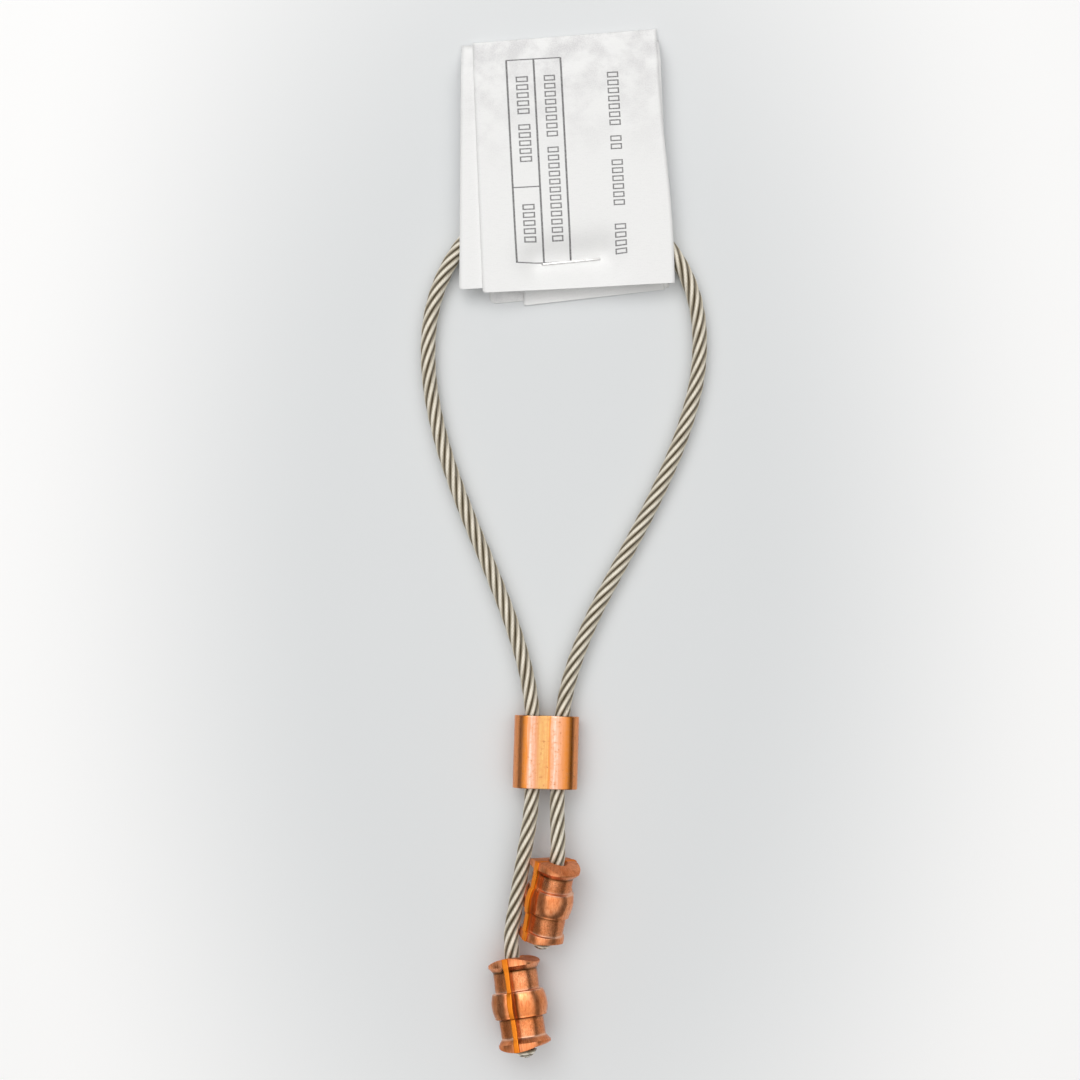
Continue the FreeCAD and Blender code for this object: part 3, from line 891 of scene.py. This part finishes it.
def sleeveMaterial():
    # Drawn copper tube: fine streaks along it, over painted reflections, bright and dark bands
    # that run along it side by side.
    material, tree, shader = newMaterial("drawnCopper")
    surface, tone = readSurface(tree), sleeveLook["tones"]
    streaks = addNoise(tree, stretch(tree, surface, (90, 1.6, 1)), 1.0, 4.0)
    wander = addNoise(tree, stretch(tree, surface, (55, 1.4, 1)), 1.0, 2.0)
    grain = addNoise(tree, readPlace(tree), 1500.0, 2.0)
    shifted = doMath(tree, "MULTIPLY_ADD", wander, 0.09, -0.045)
    place = doMath(tree, "ADD", readAttribute(tree, "across"), shifted)
    # painted reflections: bright and dark bands across the sleeve
    paintedReflections = addRamp(tree, place, [(at, tone[kind]) for at, kind in sleeveLook["bands"]])
    colour = layColours(tree, paintedReflections, [
        (mapRange(tree, streaks, 0.42, 0.68, 0.0, 0.55), tone["streak"]),
        (mapRange(tree, grain, 0.36, 0.58, 0.4, 0.0), tone["mottle"]),
        (mapRange(tree, grain, 0.27, 0.36, 0.6, 0.0), tone["spot"]),
    ])
    setShader(tree, shader, {"Base Color": colour, "Metallic": 1.0,
                             "Roughness": mapRange(tree, streaks, 0.3, 0.7, 0.24, 0.36)})
    addBump(tree, shader, streaks, 0.3, 0.03 * mm)
    return material


def makeSleeve():
    look = sleeveLook
    lean, rise = radians(look["lean"]), radians(look["rise"])
    along = np.array([sin(lean) * cos(rise), cos(lean) * cos(rise), -sin(rise)])
    across = np.array([cos(lean), -sin(lean), 0])
    local = sleevePoints()
    points = mm * (np.array(look["middle"]) + local[..., :1] * across
                   + local[..., 1:2] * np.cross(across, along) + local[..., 2:] * along)
    steps = np.linalg.norm(np.diff(local[0], axis=0), axis=-1)
    values = {
        "u": join([[0], np.cumsum(steps)]) / steps.sum(),
        "v": local[..., 2] / look["length"] + 0.5,
        "across": local[..., 0] / (look["slotWidth"] + 2 * look["wall"]) + 0.5,
    }
    piece = makePiece("sliderSleeve", [(points, values)], sleeveMaterial(), 35)
    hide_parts("slider_sleeve")
    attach(piece, "slider")


makeSleeve()
print("rope, heads and sleeve made")


# Leaflet

leafletLook = {  # millimetres and degrees, from the left end of the fold
    "corner": (-19.4, 104.9), "turn": 4.4,
    "paper": 0.2, "gap": 0.05, "foldRadius": 0.3, "foldRamp": 8.0, "dimple": 4.0,
    "foldWidth": 39.1, "high": 4.4, "ruffleRamp": 20.0,
    "coverBow": 0.35,
    # a sheet's corners, top left, top right, bottom right, bottom left, and the last's rounding
    "coverFront": ((0, 0), (39.1, 0), (38.6, -54.1), (-1.8, -53.1), 0.6),
    "coverBack": ((0, 0), (39.1, 0), (37.7, -54.4), (-0.55, -55.0), 1.4),
    "frontLeaf": ((-2.3, 0.05), (39.4, -2.2), (37.8, -52.6), (-6.7, -52.0), 0.5),
    "backLeaf": ((8.7, -3.8), (37.9, -4.3), (36.7, -54.8), (6.6, -55.9), 0.3),
    # flat sizes: the cover's width and the height of its two halves, and the two leaves'
    "coverFlat": (40.9, 54.2, 55.0), "frontFlat": (44.6, 52.2), "backFlat": (30.5, 52.2),
    "paperTone": (0.91, 0.91, 0.905), "cloudTone": (0.64, 0.63, 0.64),
    "fibreTone": (0.78, 0.78, 0.78), "grainTone": (0.76, 0.76, 0.76),
}
printLook = {  # centimetres on the sheet, turned by a few degrees; a mark's sizes are halves
    "move": (-0.693, 0.430, 0), "turn": 1.38,
    "ink": (0.075, 0.07, 0.075),
    # two side lines and a middle one, both ends and a divider: x, y, width and height
    "frame": ((0.0, -2.14, 0.02, 2.14), (0.575, -2.13, 0.02, 2.13), (1.145, -2.13, 0.02, 2.13),
              (0.57, 0.0, 0.58, 0.014), (0.57, -4.27, 0.58, 0.012), (0.28, -2.71, 0.28, 0.012)),
    # three rows of bars in place of words: x and width, then each bar's y and height
    "rows": ((0.31, 0.13, ((-0.78, 0.40), (-1.79, 0.41), (-3.47, 0.41))),
             (0.89, 0.12, ((-1.035, 0.655), (-2.88, 1.0))),
             (2.22, 0.12, ((-0.955, 0.575), (-1.872, 0.158), (-2.712, 0.498), (-3.888, 0.328)))),
    "rowTall": 9.0,
    "pitch": 0.168,  # from one box of a bar to the next
    "boxHalf": 0.36, "boxHollow": 0.2,  # shares of the pitch
    "hollowWide": 0.76,  # of a bar's half width
}
stapleLook = {  # millimetres and degrees
    "crown": 12.8, "wide": 0.5, "thick": 0.4, "prong": 4.6, "bend": 0.35,
    "middle": (17.3, -47.5), "turn": 1.1,
}


def turned(x, y, degrees):
    turn = radians(degrees)
    return x * cos(turn) - y * sin(turn), x * sin(turn) + y * cos(turn)


def onLeaflet(x, y, z):
    # From the leaflet's own millimetres to metres in the part's frame.
    x, y = turned(x, y, leafletLook["turn"])
    left, top = leafletLook["corner"]
    return mm * np.stack([left + x, top + y, z], -1)


def frontHeight(x, y):
    # Underside of the cover's front: it rises from the fold and dips to the staple,
    # low + (high - low) * ease * (1 - exp(-(distance / dimple)^2)).
    look = leafletLook
    low = look["paper"] + 2 * look["foldRadius"]
    half, middle = stapleLook["crown"] / 2, stapleLook["middle"]
    along, off = turned(x - middle[0], y - middle[1], -stapleLook["turn"])
    distance = np.hypot(along - along.clip(-half, half), off)
    rise = easeIn(-y / look["foldRamp"]) * (1 - hill(distance, 0, look["dimple"]))
    return low + (look["high"] - low) * rise


def leafPlaces(sheet, bow=0.0):
    # A grid over a sheet's four corners, (s, t) from the top left. The lower left one is
    # rounded by moving the left edge in, and the right edge bends into an S, bow * sin(2 pi t).
    *corners, rounding = leafletLook[sheet]
    topLeft, topRight, bottomRight, bottomLeft = np.array(corners)
    tall = np.linalg.norm(bottomLeft - topLeft)
    wide = np.linalg.norm(bottomRight - bottomLeft)
    plain = 1 - rounding / tall
    down = join([np.linspace(0, plain, 49), np.linspace(plain, 1, 13)[1:]])
    level = (rounding - (1 - down) * tall).clip(0)
    inset = ((rounding - np.sqrt(rounding ** 2 - level ** 2)) / wide)[:, None]
    t = down[:, None, None]
    s = (inset + (1 - inset) * np.linspace(0, 1, 49))[..., None]
    places = (1 - t) * ((1 - s) * topLeft + s * topRight) \
        + t * ((1 - s) * bottomLeft + s * bottomRight)
    return places[..., 0] - bow * (s * np.sin(2 * pi * t))[..., 0], places[..., 1]


def ruffle(x, y, size):
    # Very slight waves, as paper has that was folded and handled; never below the flat sheet.
    waves = 1 + 0.6 * np.sin(0.11 * x + 0.07 * y) + 0.4 * np.sin(0.19 * y - 0.08 * x + 1.3)
    return size * waves * easeIn(-y / leafletLook["ruffleRamp"])


def nearestMark(tree, place, marks):
    # Below 1 inside any of the rectangles.
    total = None
    for x, y, halfWide, halfTall in marks:
        away = vectorMath(tree, "SUBTRACT", place, (x, y, 0))[0]
        size = vectorMath(tree, "ABSOLUTE", away)[0]
        share = vectorMath(tree, "DIVIDE", size, (halfWide, halfTall, 1))[0]
        parts = splitVector(tree, share)
        largest = doMath(tree, "MAXIMUM", parts[0], parts[1])
        total = largest if total is None else doMath(tree, "MINIMUM", total, largest)
    return total


def barBreaks(tree, place):
    # Cuts the bars into small hollow boxes, as far apart as letters would be.
    look = printLook
    rows = [(x, 0.0, wide, look["rowTall"]) for x, wide, bars in look["rows"]]
    along = splitVector(tree, place)[1]
    share = doMath(tree, "FRACT", doMath(tree, "DIVIDE", along, look["pitch"]))
    off = doMath(tree, "ABSOLUTE", doMath(tree, "SUBTRACT", share, look["boxHalf"]))
    box = doMath(tree, "LESS_THAN", off, look["boxHalf"])
    ends = doMath(tree, "GREATER_THAN", off, look["boxHollow"])
    sides = doMath(tree, "GREATER_THAN", nearestMark(tree, place, rows), look["hollowWide"])
    return doMath(tree, "MULTIPLY", box, doMath(tree, "MAXIMUM", ends, sides))


def addPrint(tree, sheet, colour):
    # A ruled frame and bars of hollow boxes, their ink a little worn.
    look = printLook
    place = stretch(tree, sheet, (1, 1, 1), radians(look["turn"]), look["move"])
    bars = [(x, y, wide, tall) for x, wide, row in look["rows"] for y, tall in row]
    inBars = doMath(tree, "LESS_THAN", nearestMark(tree, place, bars), 1.0)
    inBars = doMath(tree, "MULTIPLY", inBars, barBreaks(tree, place))
    inFrame = doMath(tree, "LESS_THAN", nearestMark(tree, place, look["frame"]), 1.0)
    wearAndHighlight = mapRange(tree, addNoise(tree, sheet, 45.0, 2.0), 0.35, 0.6, 0.6, 0.95)
    for inside, strength in ((inBars, 0.95), (inFrame, 1.0)):
        share = doMath(tree, "MULTIPLY", doMath(tree, "MULTIPLY", inside, wearAndHighlight), strength)
        colour = mixColours(tree, share, colour, look["ink"])
    return colour


def paperMaterial(name, printed):
    # Spun-bonded paper: white with grey clouds near the fold, fibres and a fine grain.
    material, tree, shader = newMaterial(name)
    look, sheet = leafletLook, readSurface(tree)
    clouds = addNoise(tree, sheet, 1.6, 5.0, 0.62)
    grain = addNoise(tree, sheet, 38.0, 3.0, 0.7)
    fibres = addNoise(tree, stretch(tree, sheet, (3.0, 22.0, 1), 0.5), 2.0, 4.0)
    down = splitVector(tree, sheet)[1]
    shade = doMath(tree, "MULTIPLY", mapRange(tree, clouds, 0.42, 0.62),
                   mapRange(tree, down, -3.0, -0.1))
    speck = doMath(tree, "MULTIPLY", shade, mapRange(tree, grain, 0.35, 0.65, 0.25, 1.0))
    colour = layColours(tree, look["paperTone"], [
        (speck, look["cloudTone"]),
        (mapRange(tree, fibres, 0.5, 0.8, 0.0, 0.35), look["fibreTone"]),
        (mapRange(tree, grain, 0.5, 0.75, 0.0, 0.4), look["grainTone"]),
    ])
    if printed:
        colour = addPrint(tree, sheet, colour)
    setShader(tree, shader, {"Base Color": colour, "Roughness": 0.72, "Specular IOR Level": 0.3})
    addBump(tree, shader, addNoise(tree, sheet, 22.0, 4.0), 0.25, 0.05 * mm)
    return material


def makeSheet(name, grid, uvX, uvY, material, nodeName):
    # uvX and uvY are in millimetres; the UV map is in centimetres.
    patch = (grid, {"u": uvX / 10, "v": uvY / 10})
    piece = makePiece(name, [patch], material, allSmooth)
    thick = piece.modifiers.new("thickness", "SOLIDIFY")
    thick.thickness = leafletLook["paper"] * mm
    thick.offset = 0
    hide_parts(nodeName)
    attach(piece, "leaflet")


def makeLeaflet():
    # The cover's middle surface runs up its front, round the fold as a half circle and down
    # its back. The leaves lie inside it.
    look = leafletLook
    paper = look["paper"]
    x, y = leafPlaces("coverFront", look["coverBow"])
    front = onLeaflet(x, y, frontHeight(x, y) + paper / 2 + ruffle(x, y, 0.1))
    backX, backY = leafPlaces("coverBack")
    back = onLeaflet(backX, backY, np.full_like(backX, paper / 2))
    radius = look["foldRadius"] + paper / 2
    turn = np.linspace(0, pi, 13)[1:-1, None]
    foldX, turn = np.broadcast_arrays(x[0][None, :], turn)
    fold = onLeaflet(foldX, radius * np.sin(turn), paper / 2 + radius + radius * np.cos(turn))
    grid = join([front[::-1], fold, back])
    u = join([x[::-1], foldX, backX])
    v = join([y[::-1], np.full_like(foldX, 0.4), 0.8 - backY])
    makeSheet("leafletCover", grid, u, v, paperMaterial("printedPaper", True), "leaflet_cover")

    plainPaper = paperMaterial("plainPaper", False)
    x, y = leafPlaces("frontLeaf")
    z = frontHeight(x, y) - paper - look["gap"] + paper / 2 + ruffle(x, y, 0.04)
    makeSheet("leafletFrontLeaf", onLeaflet(x, y, z), x, y - 6, plainPaper, "leaflet_front_leaf")
    x, y = leafPlaces("backLeaf")
    z = np.full_like(x, 1.5 * paper + look["gap"])
    makeSheet("leafletBackLeaf", onLeaflet(x, y, z), x, y - 6, plainPaper, "leaflet_back_leaf")


def stapleMaterial():
    # Bright flattened wire with faint draw marks.
    material, tree, shader = newMaterial("stapleWire")
    marks = addNoise(tree, readPlace(tree), 900.0, 3.0)
    colour = mixColours(tree, mapRange(tree, marks, 0.4, 0.7), (0.86, 0.86, 0.85),
                        (0.52, 0.51, 0.50))
    setShader(tree, shader, {"Base Color": colour, "Metallic": 1.0,
                             "Roughness": mapRange(tree, marks, 0.3, 0.7, 0.22, 0.4)})
    addBump(tree, shader, marks, 0.2, 0.02 * mm)
    return material


def makeStaple():
    # A flat wire carried round four bends: prong, leg, crown, leg and prong. Its section is
    # a box with soft corners, |cos|^4 + |sin|^4 = 1.
    look, sheets = stapleLook, leafletLook
    half = (look["crown"] - look["wide"]) / 2
    low, bend = look["thick"] / 2, look["bend"]
    high = 2 * sheets["paper"] + 2 * sheets["foldRadius"] + sheets["gap"] + low
    left = [(look["prong"] - look["wide"] - half, low)]
    for z, start in ((low + bend, -90), (high - bend, 180)):
        for turn in np.radians(np.linspace(start, start - 90, 7)):
            left.append((bend - half + bend * cos(turn), z + bend * sin(turn)))
    path = np.array(left + [(-x, z) for x, z in left[::-1]])
    onward = unit(np.gradient(path, axis=0))
    ring = np.radians(np.linspace(0, 360, 21))
    boxy = (abs(np.cos(ring)) ** 4 + abs(np.sin(ring)) ** 4) ** (-1 / 4)
    across = look["wide"] / 2 * boxy * np.cos(ring)
    thick = look["thick"] / 2 * boxy * np.sin(ring)
    x = path[:, None, 0] - onward[:, None, 1] * thick
    z = path[:, None, 1] + onward[:, None, 0] * thick
    y = np.broadcast_to(across, x.shape)
    centre = np.stack([path[:, 0], 0 * path[:, 0], path[:, 1]], -1)
    local = capTube(centre, np.stack([x, y, z], -1))
    x, y = turned(local[..., 0], local[..., 1], look["turn"])
    points = onLeaflet(look["middle"][0] + x, look["middle"][1] + y, local[..., 2])
    piece = makePiece("staple", [(points, {})], stapleMaterial(), 50)
    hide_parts("leaflet_staple")
    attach(piece, "leaflet")


makeLeaflet()
makeStaple()
print("leaflet and staple made")
